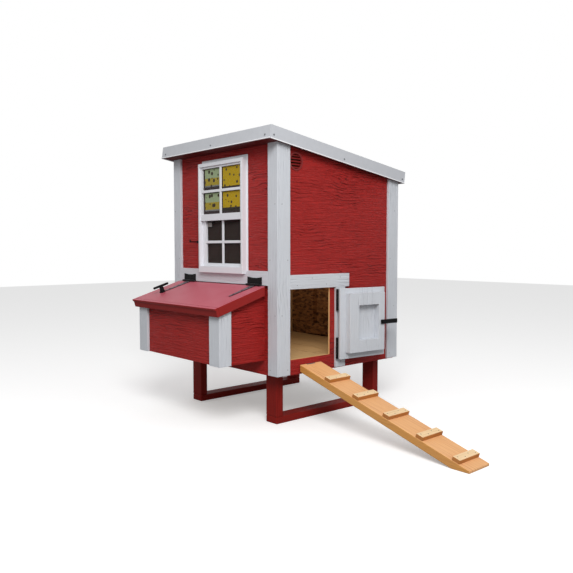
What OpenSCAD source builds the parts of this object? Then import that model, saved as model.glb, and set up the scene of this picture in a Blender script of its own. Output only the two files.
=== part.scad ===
// Raised timber chicken coop: a shed-roofed house on two leg frames, with a sash window,
// a nest box with a hinged lid, a chicken door with a ramp, and a clean-out door behind.

/* [House] */
// Width across the corner boards, along X
house_w = 980; // [820:1:1250]
// Depth across the corner boards, along Y
house_d = 985; // [900:1:1250]
// Height of the corner boards' lower ends above the ground
board_z = 280; // [240:1:360]
// Height of the front wall at the face of the corner boards
wall_top = 1498; // [1490:1:1850]
// Fall of the roof towards the rear, in degrees
roof_pitch = 8.2; // [4:0.1:9]
// Thickness of the wall siding
siding_t = 11; // [9:1:16]
// Thickness of the trim boards
board_t = 15; // [12:1:19]
// Width of the trim boards
board_w = 76; // [60:1:90]

/* [Legs] */
// Width of a leg timber
timber_w = 89; // [70:1:107]
// Height of a runner
timber_t = 38; // [30:1:46]
// Depth of a leg post, along Y
post_t = 47; // [36:1:60]
// Inset of the leg frames from the sides
leg_inset_x = 88; // [50:1:140]
// Inset of the leg frames from the front and the rear
leg_inset_y = 72; // [40:1:110]

/* [Roof] */
// Overhang at the front
eave_front = 69; // [50:1:100]
// Overhang at the rear
eave_rear = 28; // [20:1:90]
// Overhang at each side
eave_side = 24; // [18:1:60]
// Height of the metal edge
edge_h = 70; // [60:1:80]

/* [Window] */
// Width over the window frame
window_w = 432; // [380:1:440]
// Height over the window frame
window_h = 650; // [560:1:660]
// Height of the frame's lower edge above the ground
window_z = 812; // [806:1:840]
// Distance of the window's centre from the right-hand corner
window_s = 472; // [450:1:490]
// Width of the window frame at each side, with its fin
window_rim = 22; // [20:1:36]
// Width of a glazing bar
muntin = 15; // [10:1:20]

/* [Nest box] */
// Width over the corner boards of the nest box
nest_w = 797; // [680:1:810]
// Projection from the face of the house
nest_out = 294; // [250:1:350]
// Height of the nest box's lower edge
nest_z = 352; // [340:1:400]
// Height of the lid's top at the house wall
lid_z = 752; // [740:1:754]
// Width of the lid
lid_w = 828; // [828:1:844]
// Length of the lid down its slope
lid_len = 335; // [330:1:420]
// Slope of the lid, in degrees
lid_pitch = 17; // [12:0.1:18]
// Thickness of the lid panel
lid_t = 18; // [12:1:22]
// Height of the lid's edge boards
skirt_h = 48; // [36:1:56]

/* [Chicken door] */
// Distance of the door's pin line from the front corner
door_s = 439; // [420:1:470]
// Width of the door panel
door_w = 345; // [300:1:346]
// Height of the door panel
door_h = 400; // [340:1:402]
// Height of the door panel's lower edge
door_z = 327; // [320:1:340]
// Depth of the boards behind the panel
plug_t = 38; // [25:1:44]
// Angle at which the door stands open
door_open = 174; // [150:1:175]

/* [Clean-out door] */
// Width of the clean-out door panel
back_w = 620; // [480:1:630]
// Height of the clean-out door panel
back_h = 800; // [700:1:820]

/* [Ramp] */
// Width of the ramp board
ramp_w = 159; // [130:1:200]
// Thickness of the ramp board
ramp_t = 38; // [25:1:44]
// Height of the ramp's top at the wall
ramp_z = 326; // [300:1:350]
// Slope of the ramp, in degrees
ramp_pitch = 16.7; // [15:0.1:24]
// Distance of the ramp's near edge from the front corner
ramp_s = 170; // [150:1:210]
// Spacing of the cleats along the ramp
cleat_pitch = 202; // [150:1:230]
// Number of cleats
cleat_n = 5; // [3:1:5]

/* [Fittings] */
// Radius of a door hinge's pin
pin_r = 3; // [2.5:0.1:3.5]
// Radial clearance of a pin or a shaft in its bore
run_fit = 0.05; // [0.02:0.01:0.1]
// Radius of a latch's shaft
shaft_r = 5; // [4:0.1:6]
// Height of a T handle above its plate
tee_h = 44; // [36:1:46]
// Length of a T handle's grip
tee_len = 105; // [80:1:110]

/* [Hidden] */
$fn = 40;

gap = 0.3;                          // slip between parts that nearly touch
butt = 0.2;                         // open joint where two boards butt
seat = 0.05;                        // open joint between the roof and the walls
hw = house_w / 2;
hd = house_d / 2;
sid_x = hw - board_t;               // outer plane of the side siding
sid_y = hd - board_t;               // outer plane of the front and rear siding
in_x = sid_x - siding_t;            // inner plane of the side walls
in_y = sid_y - siding_t;            // inner plane of the front and rear walls
wall_z = board_z - 6;               // lower edge of the siding
frame_z = board_z + 20;             // underside of the floor frame
joist = 38;                         // floor joists and battens are square
deck_t = 12;                        // floor and roof plywood
floor_z = frame_z + joist;
floor_top = floor_z + deck_t;
stud_w = 38;
stud_t = 25;

roof_len = (house_d + eave_front + eave_rear) / cos(roof_pitch);
roof_hx = hw + eave_side;
eave_z = wall_top + eave_front * tan(roof_pitch) + seat;
edge_t = 3;                         // metal edge, folded double
edge_drop = 4;                      // how far the metal edge hangs below the deck
edge_top = edge_h - edge_drop;
hem = 3;                            // the metal edge's turned-out lower lip
edge_flange = 32;                   // how far the metal edge laps over the roof sheet
sheet_t = 2;
rib_h = 7;
batten_h = edge_top - deck_t - sheet_t - rib_h - gap - edge_t;

glass_t = 3;
sash_t = 14;
rim_out = 38;                       // how far the window frame stands off the siding
win_x = hw - window_s;
win_iw = window_w - 2 * window_rim;
sill_h = 36;                        // window frame below the opening
head_h = 41;                        // window frame and fin above the opening
win_z0 = window_z + sill_h;
win_z1 = window_z + window_h - head_h;
meet_z = window_z + 0.46 * window_h;
liner_t = 14;
liner_in = 12;                      // how far the window liner stands inside the wall
sash_gap = 0.5;
meet_h = 31;                        // height of the rails that overlap half way up
upper_side = 12;                    // rims of the upper sash
upper_low = 38;
upper_high = 10;
lower_side = 30;                    // rims of the lower sash
lower_low = 18;
upper_z0 = meet_z;
upper_z1 = win_z1 - sash_gap;
lower_z0 = win_z0 + gap;
lower_z1 = meet_z + meet_h;
upper_y0 = -hd - 15;
lower_y0 = upper_y0 + sash_t + 2;
screen_y0 = lower_y0 + sash_t + 3;

nest_x = -14;                       // centre line of the nest box
nest_hx = nest_w / 2;
nest_y0 = -hd - nest_out;           // face of the nest box's front corner boards
nest_py = nest_y0 + board_t;        // outer plane of the nest box's front panel
nest_px = nest_hx - board_t;
nest_board_w = 89;                  // corner boards on the nest box's face
nest_ft = 12;                       // nest floor thickness
nest_floor_z = nest_z + 6;
nest_gate_z = nest_floor_z + nest_ft + 30;
nest_gate_h = 215;
nest_gate_w = 320;
lid_back = 6;                       // gap between the lid and the front band
lid_y0 = -hd - lid_back;
nosing = 6;
strap_t = 3;
lid_knuckle = 5.5;
lid_pin_r = 2.5;
lid_pin_y = -4;                     // hinge line, in the lid's own frame
lid_pin_z = 6.5;
lid_ay = lid_y0 + lid_pin_y * cos(lid_pitch) - lid_pin_z * sin(lid_pitch);
lid_az = lid_z + lid_pin_y * sin(lid_pitch) + lid_pin_z * cos(lid_pitch);
lid_hinge_xs = [hw - 184, hw - 804];
lid_leaf_w = 120;
lid_leaf_h = 42;
lid_leaf_dip = 5;                   // how far the leaf dips between its two ears
lid_knuckle_w = 40;
strap_len = 177;
lid_latch_x = lid_hinge_xs[1];
lid_latch_y = -197;                 // place of the lid's latch down its slope
cam_w = 25;
cam_t = 6;
cam_len = 115;
cam_tail = 13;
shaft_end = 4;                      // bare end of a latch's shaft, past its cam
lid_through = lid_t + 34;           // shaft below the lid's face
side_gap = 6;                       // between the lid's cam and the nest box's side
lid_cam_len = lid_latch_x - (nest_x - nest_px + siding_t) - side_gap;
keeper_t = 20;                      // cleat that the lid's cam turns under

open_s0 = door_s - 341;             // chicken door opening, from the front corner
open_s1 = door_s - 36;
open_z0 = door_z + 30;
open_z1 = door_z + door_h + 8;
plug_w = 69;                        // width of the boards behind the panel
latch_w = 46;                       // width of the one that carries the latch
plug_s0 = 43;                       // hinge side of those boards, from the pin line
plug_s1 = door_w - 34;
plug_z0 = 36;
plug_z1 = door_h - 28;
header_over = 33;                   // how far the header runs past the side board
pin_o = 9;                          // pin line's distance in front of the boards
knuckle_r = 6.5;
leaf_t = 3;
leaf_w = 32;
leaf_h = 120;
door_gap = 2;
door_latch_z = door_z + door_h / 2;
door_through = board_t + plug_t + 12;
latch_u = 291;                      // latch shaft's distance from the pin line
plate_r = 18;                       // round plate and hub under a T handle
plate_t = 5;
hub_r = 14;
tee_grip = 7;                       // radius of a T handle's grip
tee_drop = 5;                       // grip's centre line below the handle's height
door_hinge_zs = [door_z + 2, door_z + door_h - leaf_h - 4];

back_x = -back_w / 2;               // pin line of the clean-out door
back_z = door_z;
back_plug_s1 = back_w - 34;
back_plug_z1 = back_h - 22;
back_hinge_zs = [back_z + 70, back_z + back_h - leaf_h - 70];
back_latch_u = back_w - 54;
back_latch_z = back_z + back_h / 2;
back_cam_len = 100;

ramp_gap = 5;                       // clear of the siding, so that the ramp can turn
ramp_x0 = sid_x + ramp_gap;
ramp_toe = 12;                      // height of the blunt toe
ramp_x1 = ramp_x0 + (ramp_z - ramp_toe) / tan(ramp_pitch);
ramp_y0 = -hd + ramp_s;
ramp_y1 = ramp_y0 + ramp_w;
ramp_ax = sid_x + 7;                // hinge line
ramp_az = ramp_z - 6;
ramp_knuckle = 5;
ramp_pin_r = 2;
ramp_hinge_w = 60;
ramp_slot = ramp_hinge_w + 4;
cleat_first = 191;                  // first cleat's upper edge, from the ramp's top
cleat_w = 40;
cleat_t = 19;
cleat_l = ramp_w - 3;

roost_y = 150;
roost_z = 760;
roost_w = 38;
bracket_t = 19;

vent_r = 49;
vent_s = board_t + board_w + vent_r + 2;
vent_z = wall_top - 88;
vent_hole = 43;

hook_x = hw - 743;
hook_z = 990;

// Corners of the whole object's box, which set the origin
box_x0 = -roof_hx - hem;
box_x1 = ramp_x1;
box_y0 = lid_y0 - (lid_len + nosing) * cos(lid_pitch);
eave_y1 = -hd - eave_front + roof_len * cos(roof_pitch) + edge_top * sin(roof_pitch);
box_y1 = max(eave_y1, hd + tee_h + tee_grip - tee_drop);

function roof_at(y) = wall_top - (y + hd) * tan(roof_pitch);
function lid_under(y) = lid_z + (y - lid_y0) * tan(lid_pitch) - (lid_t + 0.5) / cos(lid_pitch);

// ---- shared shapes ----

module place() {
  translate([-(box_x0 + box_x1) / 2, -(box_y0 + box_y1) / 2, 0]) children();
}

module box(x0, x1, y0, y1, z0, z1) {
  translate([x0, y0, z0]) cube([x1 - x0, y1 - y0, z1 - z0]);
}

// An outline in Y and Z, extruded along X
module along_x(x0, x1, outline) {
  translate([x0, 0, 0]) rotate([90, 0, 90]) linear_extrude(x1 - x0) polygon(outline);
}

// An outline in X and Z, extruded along Y
module along_y(y0, y1, outline) {
  translate([0, y1, 0]) rotate([90, 0, 0]) linear_extrude(y1 - y0) polygon(outline);
}

// A block from z0 up to the underside of the roof
module under_roof(x0, x1, y0, y1, z0) {
  along_x(x0, x1, [[y0, z0], [y1, z0], [y1, roof_at(y1)], [y0, roof_at(y0)]]);
}

// A block of the nest box, from z0 up to the underside of the lid
module under_lid(x0, x1, y0, y1, z0) {
  along_x(x0, x1, [[y0, z0], [y1, z0], [y1, lid_under(y1)], [y0, lid_under(y0)]]);
}

// The roof's own frame: X across, Y down the slope from the front edge, Z square to it
module roof_frame() {
  translate([0, -hd - eave_front, eave_z]) rotate([-roof_pitch, 0, 0]) children();
}

// The lid's own frame: -Y down the slope from the back edge, Z square to it
module lid_frame() {
  translate([nest_x, lid_y0, lid_z]) rotate([lid_pitch, 0, 0]) children();
}

// A ring of flat stock standing in the X-Z plane
module ring(w, h, t, rim_side, rim_low, rim_high) {
  difference() {
    cube([w, t, h]);
    translate([rim_side, -1, rim_low]) cube([w - 2 * rim_side, t + 2, h - rim_low - rim_high]);
  }
}

// Door frame: +X from the pin line towards the free edge, +Y out of the wall
module side_door() {
  translate([hw, -hd + door_s, 0]) rotate([0, 0, -90]) children();
}

module back_door() {
  translate([back_x, hd, 0]) children();
}

// Turns a door about its pin line
module swing(angle) {
  translate([0, pin_o, 0]) rotate([0, 0, angle]) translate([0, -pin_o, 0]) children();
}

// The half of a butt hinge that has n knuckles, the first one at step "first" of five.
// side is 1 for the flap on the door and -1 for the leaf on the fixed board.
module butt_half(z, side, first) {
  step = leaf_h / 5;
  start = side > 0 ? door_gap : -door_gap / 2 - leaf_w;
  web = side > 0 ? 0 : -knuckle_r;
  difference() {
    union() {
      translate([start, 0, z]) cube([leaf_w - 1, leaf_t, leaf_h]);
      for (i = [first : 2 : 4]) {
        translate([0, pin_o, z + i * step + gap]) cylinder(r = knuckle_r, h = step - 2 * gap);
        translate([web, 0, z + i * step + gap]) cube([knuckle_r, pin_o, step - 2 * gap]);
      }
    }
    translate([0, pin_o, z - 1]) cylinder(r = pin_r + run_fit, h = leaf_h + 2);
    for (i = [1 - first : 2 : 4]) {
      translate([0, pin_o, z + i * step - gap]) cylinder(r = knuckle_r + 1, h = step + 2 * gap);
    }
  }
}

// Door panel with the latch's shaft hole
module leaf_panel(w, h, z, latch_at, latch_z) {
  difference() {
    box(door_gap, w, -board_t, 0, z, z + h);
    translate([latch_at, 1, latch_z]) rotate([90, 0, 0])
      cylinder(r = shaft_r + run_fit, h = board_t + 2);
  }
}

// Boards behind a door panel: two stiles and two rails, which plug the opening
module leaf_boards(s0, s1, z0, z1, latch_at, latch_z) {
  y0 = -board_t - plug_t;
  difference() {
    union() {
      box(s0, s0 + plug_w, y0, -board_t, z0, z1);
      box(s1 - latch_w, s1, y0, -board_t, z0, z1);
      for (z = [z0, z1 - plug_w])
        box(s0 + plug_w + butt, s1 - latch_w - butt, y0, -board_t, z, z + plug_w);
    }
    translate([latch_at, 1, latch_z]) rotate([90, 0, 0])
      cylinder(r = shaft_r + run_fit, h = board_t + plug_t + 2);
  }
}

// T handle about the Y axis: shaft length "through" below the panel's face
module tee(through) {
  rotate([-90, 0, 0]) {
    translate([0, 0, gap]) cylinder(r = plate_r, h = plate_t);
    translate([0, 0, -through]) cylinder(r = shaft_r, h = through + plate_t + 1);
    translate([0, 0, plate_t]) cylinder(r1 = hub_r, r2 = hub_r - 3, h = tee_h - plate_t - 4);
    translate([-tee_len / 2 + tee_grip, 0, tee_h - tee_drop]) rotate([0, 90, 0])
      cylinder(r = tee_grip, h = tee_len - 2 * tee_grip);
    for (end = [-1, 1]) {
      translate([end * (tee_len / 2 - tee_grip), 0, tee_h - tee_drop]) sphere(r = tee_grip);
    }
  }
}

// Cam bar on the shaft, running from its tail to its tip along +X
module cam(through, length) {
  difference() {
    union() {
      translate([-cam_tail, -through, -cam_w / 2]) cube([length + cam_tail, cam_t, cam_w]);
      translate([0, -through, 0]) rotate([90, 0, 0]) cylinder(r = 9, h = shaft_end);
    }
    translate([0, -through + cam_t + 1, 0]) rotate([90, 0, 0])
      cylinder(r = shaft_r + run_fit, h = cam_t + shaft_end + 2);
  }
}

// ---- legs and floor ----

module runners() {
  color("darkred") place() for (side = [-1, 1]) {
    x0 = side > 0 ? hw - leg_inset_x - timber_w : -hw + leg_inset_x;
    box(x0, x0 + timber_w, -hd + leg_inset_y, hd - leg_inset_y, 0, timber_t);
  }
}

module leg_posts() {
  color("darkred") place() for (side = [-1, 1], end = [-1, 1]) {
    x0 = side > 0 ? hw - leg_inset_x - timber_w : -hw + leg_inset_x;
    y0 = end > 0 ? hd - leg_inset_y - post_t : -hd + leg_inset_y;
    box(x0, x0 + timber_w, y0, y0 + post_t, timber_t, frame_z);
  }
}

module floor_frame() {
  side_x = in_x - joist / 2;
  leg_x = hw - leg_inset_x - timber_w / 2;
  color("burlywood") place() {
    for (end = [-1, 1]) {
      y0 = end > 0 ? in_y - joist : -in_y;
      box(-in_x, in_x, y0, y0 + joist, frame_z, floor_z);
    }
    // A joist at each side, one on each leg frame and one between
    for (x = [-side_x, -leg_x, 0, leg_x, side_x]) {
      x0 = x - joist / 2;
      box(x0, x0 + joist, -in_y + joist + butt, in_y - joist - butt, frame_z, floor_z);
    }
  }
}

module floor_deck() {
  color("tan") place() box(-in_x, in_x, -in_y, in_y, floor_z, floor_top);
}

module corner_studs() {
  color("burlywood") place() for (side = [-1, 1], end = [-1, 1]) {
    x0 = side > 0 ? in_x - stud_t : -in_x;
    y0 = end > 0 ? in_y - stud_w : -in_y;
    under_roof(x0, x0 + stud_t, y0, y0 + stud_w, floor_top);
  }
}

module top_plates() {
  color("burlywood") place() for (end = [-1, 1]) {
    y0 = end > 0 ? in_y - stud_t : -in_y;
    z0 = roof_at(y0 + stud_t) - stud_w;
    under_roof(-in_x + stud_t, in_x - stud_t, y0, y0 + stud_t, z0);
  }
}

// ---- walls and trim boards ----

module front_wall() {
  color("firebrick") place() difference() {
    under_roof(-sid_x, sid_x, -sid_y, -in_y, wall_z);
    box(win_x - win_iw / 2 - liner_t, win_x + win_iw / 2 + liner_t, -sid_y - 1, -in_y + 1,
        win_z0 - liner_t, win_z1 + liner_t);
    for (side = [-1, 1]) {
      x0 = nest_x + side * (nest_ft + nest_gate_w) / 2;
      box(x0 - nest_gate_w / 2 + 8, x0 + nest_gate_w / 2 - 8, -sid_y - 1, -in_y + 1,
          nest_gate_z, nest_gate_z + nest_gate_h);
    }
  }
}

module side_siding(side) {
  x0 = side > 0 ? in_x : -sid_x;
  difference() {
    under_roof(x0, x0 + siding_t, -in_y, in_y, wall_z);
    translate([x0 - 1, -hd + vent_s, vent_z]) rotate([0, 90, 0])
      cylinder(r = vent_hole, h = siding_t + 2);
  }
}

module right_wall() {
  color("firebrick") place() difference() {
    side_siding(1);
    box(in_x - 1, sid_x + 1, -hd + open_s0, -hd + open_s1, open_z0, open_z1);
  }
}

module left_wall() {
  color("firebrick") place() side_siding(-1);
}

module rear_wall() {
  color("firebrick") place() difference() {
    under_roof(-sid_x, sid_x, in_y, sid_y, wall_z);
    box(back_x + plug_s0 - 7, back_x + back_plug_s1 + 12, in_y - 1, sid_y + 1,
        back_z + plug_z0 - 6, back_z + back_plug_z1 + 8);
  }
}

// The two boards at a corner: one on the front or rear face, one butting behind it
module corner_pair(side, end) {
  x0 = side > 0 ? hw - board_w : -hw;
  y0 = end > 0 ? sid_y : -hd;
  under_roof(x0, x0 + board_w, y0, y0 + board_t, board_z);
  x1 = side > 0 ? sid_x : -hw;
  y1 = end > 0 ? sid_y - board_w - butt : -sid_y + butt;
  under_roof(x1, x1 + board_t, y1, y1 + board_w, board_z);
}

module corner_boards_front() {
  color("gainsboro") place() for (side = [-1, 1]) corner_pair(side, -1);
}

module corner_boards_rear() {
  color("gainsboro") place() for (side = [-1, 1]) corner_pair(side, 1);
}

// Band above the nest box, notched round the foot of the window frame
module front_band() {
  band_z = lid_z + 3;
  color("gainsboro") place() difference() {
    box(-hw + board_w + butt, hw - board_w - butt, -hd, -sid_y, band_z, band_z + board_w);
    box(win_x - window_w / 2 - gap, win_x + window_w / 2 + gap, -hd - 1, -sid_y + 1,
        window_z - gap, window_z + window_h);
  }
}

module door_header() {
  y0 = -sid_y + board_w + 2 * butt;
  y1 = -hd + door_s + board_w + header_over;
  color("gainsboro") place() box(sid_x, hw, y0, y1, open_z1, open_z1 + board_w);
}

module door_side_board() {
  y0 = -hd + door_s + 1;
  color("gainsboro") place() box(sid_x, hw, y0, y0 + board_w, board_z, open_z1 - butt);
}

// ---- roof ----

module roof_deck() {
  color("brown") place() roof_frame()
    box(-roof_hx + edge_t, roof_hx - edge_t, edge_t, roof_len - edge_t, 0, deck_t);
}

module roof_battens() {
  x0 = -roof_hx + edge_t;
  x1 = roof_hx - edge_t;
  inner_n = 3;
  color("burlywood") place() roof_frame() {
    for (i = [0 : inner_n + 1]) {
      y0 = edge_t + i * (roof_len - 2 * edge_t - joist) / (inner_n + 1);
      box(x0, x1, y0, y0 + joist, deck_t, deck_t + batten_h);
    }
  }
}

module roof_sheet() {
  z0 = deck_t + batten_h;
  rib_n = 5;
  color("lightgray") place() roof_frame() {
    box(-roof_hx + edge_t, roof_hx - edge_t, edge_t, roof_len - edge_t, z0, z0 + sheet_t);
    for (i = [0 : rib_n - 1]) {
      x0 = -roof_hx + 60 + i * (2 * roof_hx - 120) / (rib_n - 1);
      along_y(edge_t, roof_len - edge_t, [
        [x0 - 20, z0 + 1], [x0 + 20, z0 + 1], [x0 + 10, z0 + sheet_t + rib_h],
        [x0 - 10, z0 + sheet_t + rib_h]
      ]);
    }
  }
}

// Metal edge in section: face, top flange and turned-out hem
module edge_outline(direction) {
  hem_h = 5;
  polygon([
    [0, edge_top], [direction * edge_flange, edge_top],
    [direction * edge_flange, edge_top - edge_t], [direction * edge_t, edge_top - edge_t],
    [direction * edge_t, -edge_drop], [-direction * hem, -edge_drop],
    [-direction * hem, -edge_drop + hem_h], [0, -edge_drop + hem_h]
  ]);
}

module roof_edge_ends() {
  color("silver") place() roof_frame() for (end = [0, 1]) {
    translate([-roof_hx, end * roof_len, 0]) rotate([90, 0, 90])
      linear_extrude(2 * roof_hx) edge_outline(1 - 2 * end);
  }
}

// The side edges run between the end ones and are cut back under their flanges
module roof_edge_sides() {
  lap = edge_flange + gap;
  color("silver") place() roof_frame() for (side = [-1, 1]) difference() {
    translate([side * roof_hx, roof_len - edge_t - butt, 0]) rotate([90, 0, 0])
      linear_extrude(roof_len - 2 * edge_t - 2 * butt) edge_outline(-side);
    for (y0 = [0, roof_len - lap]) {
      box(-roof_hx, roof_hx, y0, y0 + lap, edge_top - edge_t - gap, edge_top + 1);
    }
  }
}

module roof_screws() {
  head_z = 18;
  head_r = 4.5;
  head_h = 2.5;
  color("gray") place() roof_frame() {
    for (side = [-1, 1], v = [0.022, 0.5, 0.978]) {
      translate([side * roof_hx, v * roof_len, head_z]) rotate([0, side * 90, 0])
        cylinder(r = head_r, h = head_h);
    }
    for (end = [-1, 1], u = [-0.92, 0, 0.92]) {
      translate([u * roof_hx, end > 0 ? roof_len : 0, head_z]) rotate([end * -90, 0, 0])
        cylinder(r = head_r, h = head_h);
    }
  }
}

module vent() {
  slat_n = 5;
  pitch = 2 * (vent_hole - 4) / slat_n;
  difference() {
    union() {
      cylinder(r = vent_r, h = 4);
      translate([0, 0, -siding_t]) cylinder(r = vent_hole - gap, h = siding_t + 1);
    }
    translate([0, 0, -siding_t - 1]) cylinder(r = vent_hole - 3, h = siding_t + 6);
  }
  intersection() {
    translate([0, 0, -siding_t]) cylinder(r = vent_hole - 2, h = siding_t + 4);
    for (i = [0 : slat_n - 1]) {
      translate([(i - (slat_n - 1) / 2) * pitch, 0, -4]) rotate([0, 40, 0])
        cube([2, 2 * vent_hole, 14], center = true);
    }
  }
}

module vents() {
  color("firebrick") place() for (side = [-1, 1]) {
    translate([side * sid_x, -hd + vent_s, vent_z]) rotate([0, side * 90, 0]) vent();
  }
}

// ---- window ----

// A deep frame with a thin fin against the siding, and a liner through the wall
module window_frame() {
  x0 = win_x - window_w / 2;
  fin_w = 8;
  fin_top = 20;
  fin_t = 4;
  y0 = -sid_y - rim_out;
  color("gainsboro") place() {
    difference() {
      union() {
        box(x0, x0 + window_w, -sid_y - fin_t, -sid_y, window_z, window_z + window_h);
        box(x0 + fin_w, x0 + window_w - fin_w, y0, -sid_y - fin_t + 1,
            window_z, window_z + window_h - fin_top);
        box(win_x - win_iw / 2 - liner_t, win_x + win_iw / 2 + liner_t, -sid_y - 1,
            -in_y + liner_in, win_z0 - liner_t, win_z1 + liner_t);
      }
      box(win_x - win_iw / 2, win_x + win_iw / 2, y0 - 1, -in_y + liner_in + 1, win_z0, win_z1);
    }
  }
}

// A sash with two by two lights: ring and glazing bars
module sash(z0, z1, rim_side, rim_low, rim_high) {
  w = win_iw - 2 * sash_gap;
  h = z1 - z0;
  bar_t = sash_t / 2;
  translate([win_x - w / 2, 0, z0]) {
    ring(w, h, sash_t, rim_side, rim_low, rim_high);
    translate([(w - muntin) / 2, 0, rim_low]) cube([muntin, bar_t, h - rim_low - rim_high]);
    translate([rim_side, 0, rim_low + (h - rim_low - rim_high - muntin) / 2])
      cube([w - 2 * rim_side, bar_t, muntin]);
  }
}

module pane(z0, z1, rim_side, rim_low, rim_high) {
  w = win_iw - 2 * sash_gap - 2 * rim_side;
  translate([win_x - w / 2, sash_t / 2, z0 + rim_low])
    cube([w, glass_t, z1 - z0 - rim_low - rim_high]);
}

module upper_sash() {
  color("gainsboro") place() translate([0, upper_y0, 0])
    sash(upper_z0, upper_z1, upper_side, upper_low, upper_high);
}

module upper_glass() {
  color("lightblue") place() translate([0, upper_y0, 0])
    pane(upper_z0, upper_z1, upper_side, upper_low, upper_high);
}

module lower_sash() {
  color("gainsboro") place() translate([0, lower_y0, 0])
    sash(lower_z0, lower_z1, lower_side, lower_low, meet_h);
}

module lower_glass() {
  color("lightblue") place() translate([0, lower_y0, 0])
    pane(lower_z0, lower_z1, lower_side, lower_low, meet_h);
}

module insect_screen() {
  color("dimgray") place()
    box(win_x - win_iw / 2, win_x + win_iw / 2, screen_y0, screen_y0 + 1.5, win_z0, lower_z1);
}

// ---- nest box ----

module nest_front() {
  color("firebrick") place()
    under_lid(nest_x - nest_px, nest_x + nest_px, nest_py, nest_py + siding_t, nest_z);
}

module nest_sides() {
  color("firebrick") place() {
    for (side = [-1, 1]) {
      x0 = side > 0 ? nest_x + nest_px - siding_t : nest_x - nest_px;
      under_lid(x0, x0 + siding_t, nest_py + siding_t, -sid_y, nest_z);
    }
    // Cleat that the lid's cam turns under
    x0 = nest_x - nest_px + siding_t + butt;
    y0 = lid_y0 + lid_latch_y * cos(lid_pitch) - 40;
    along_x(x0, x0 + keeper_t, [
      [y0, lid_under(y0) - 20], [y0 + 80, lid_under(y0 + 80) - 20],
      [y0 + 80, lid_under(y0 + 80)], [y0, lid_under(y0)]
    ]);
  }
}

module nest_floor() {
  color("tan") place()
    box(nest_x - nest_px + siding_t, nest_x + nest_px - siding_t, nest_py + siding_t, -sid_y,
        nest_floor_z, nest_floor_z + nest_ft);
}

module nest_divider() {
  color("tan") place()
    under_lid(nest_x - nest_ft / 2, nest_x + nest_ft / 2, nest_py + siding_t, -sid_y,
              nest_floor_z + nest_ft);
}

module nest_corner_boards() {
  color("gainsboro") place() for (side = [-1, 1]) {
    x0 = side > 0 ? nest_x + nest_hx - nest_board_w : nest_x - nest_hx;
    under_lid(x0, x0 + nest_board_w, nest_y0, nest_py, nest_z);
    x1 = side > 0 ? nest_x + nest_px : nest_x - nest_hx;
    under_lid(x1, x1 + board_t, nest_py + butt, nest_py + board_w - board_t, nest_z);
  }
}

module lid_panel() {
  color("firebrick") place() lid_frame() difference() {
    box(-lid_w / 2 + board_t, lid_w / 2 - board_t, -lid_len + board_t, 0, -lid_t, 0);
    translate([lid_latch_x - nest_x, lid_latch_y, -lid_t - 1])
      cylinder(r = shaft_r + run_fit, h = lid_t + 2);
  }
}

module lid_edge() {
  color("firebrick") place() lid_frame() {
    for (side = [-1, 1]) {
      x0 = side > 0 ? lid_w / 2 - board_t : -lid_w / 2;
      y1 = -lid_len + board_t + butt;
      along_x(x0, x0 + board_t, [
        [0, 0], [y1, 0], [y1, -skirt_h], [-skirt_h * tan(lid_pitch), -skirt_h]
      ]);
    }
    along_x(-lid_w / 2, lid_w / 2, [
      [-lid_len + board_t, 0], [-lid_len - nosing, 0], [-lid_len - nosing, -10],
      [-lid_len, -15], [-lid_len, -skirt_h], [-lid_len + board_t, -skirt_h]
    ]);
  }
}

module lid_hinge_leaves() {
  w = lid_leaf_w / 2;
  k = lid_knuckle_w / 2;
  color("black") place() for (x = lid_hinge_xs) translate([x, 0, 0]) difference() {
    union() {
      translate([0, -hd, lid_az]) rotate([90, 0, 0]) linear_extrude(strap_t) polygon([
        [-w, 0], [w, 0], [w, lid_leaf_h], [w / 3, lid_leaf_h - lid_leaf_dip],
        [-w / 3, lid_leaf_h - lid_leaf_dip],
        [-w, lid_leaf_h]
      ]);
      for (side = [-1, 1]) {
        x0 = side > 0 ? k + gap : -w;
        translate([x0, lid_ay, lid_az]) rotate([0, 90, 0])
          cylinder(r = lid_knuckle, h = w - k - gap);
        box(x0, x0 + w - k - gap, lid_ay, -hd, lid_az, lid_az + lid_knuckle);
      }
    }
    box(-k - gap, k + gap, lid_ay - 20, lid_ay + lid_knuckle + gap, lid_az - 20, lid_az + 7);
    translate([-w - 1, lid_ay, lid_az]) rotate([0, 90, 0])
      cylinder(r = lid_pin_r + run_fit, h = 2 * w + 2);
  }
}

module lid_hinge_straps() {
  k = lid_knuckle_w / 2;
  color("black") place() lid_frame() for (x = lid_hinge_xs) translate([x - nest_x, 0, 0]) {
    difference() {
      union() {
        translate([-k, lid_pin_y, lid_pin_z]) rotate([0, 90, 0])
          cylinder(r = lid_knuckle, h = 2 * k);
        linear_extrude(strap_t) polygon([
          [-k, lid_pin_y], [k, lid_pin_y], [k * 0.8, -50], [9, -strap_len + 10],
          [0, -strap_len], [-9, -strap_len + 10], [-k * 0.8, -50]
        ]);
        box(-k, k, lid_pin_y - lid_knuckle, lid_pin_y, 0, lid_pin_z);
      }
      translate([-k - 1, lid_pin_y, lid_pin_z]) rotate([0, 90, 0])
        cylinder(r = lid_pin_r + run_fit, h = 2 * k + 2);
    }
  }
}

// Stands a latch's own Y axis square to the lid, with its grip down the slope
module lid_latch() {
  lid_frame() translate([lid_latch_x - nest_x, lid_latch_y, 0])
    rotate([0, 0, 90]) rotate([90, 0, 0]) children();
}

module lid_latch_handle() {
  color("black") place() lid_latch() tee(lid_through);
}

module lid_latch_cam() {
  color("black") place() lid_latch() cam(lid_through - shaft_end, lid_cam_len);
}

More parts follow.
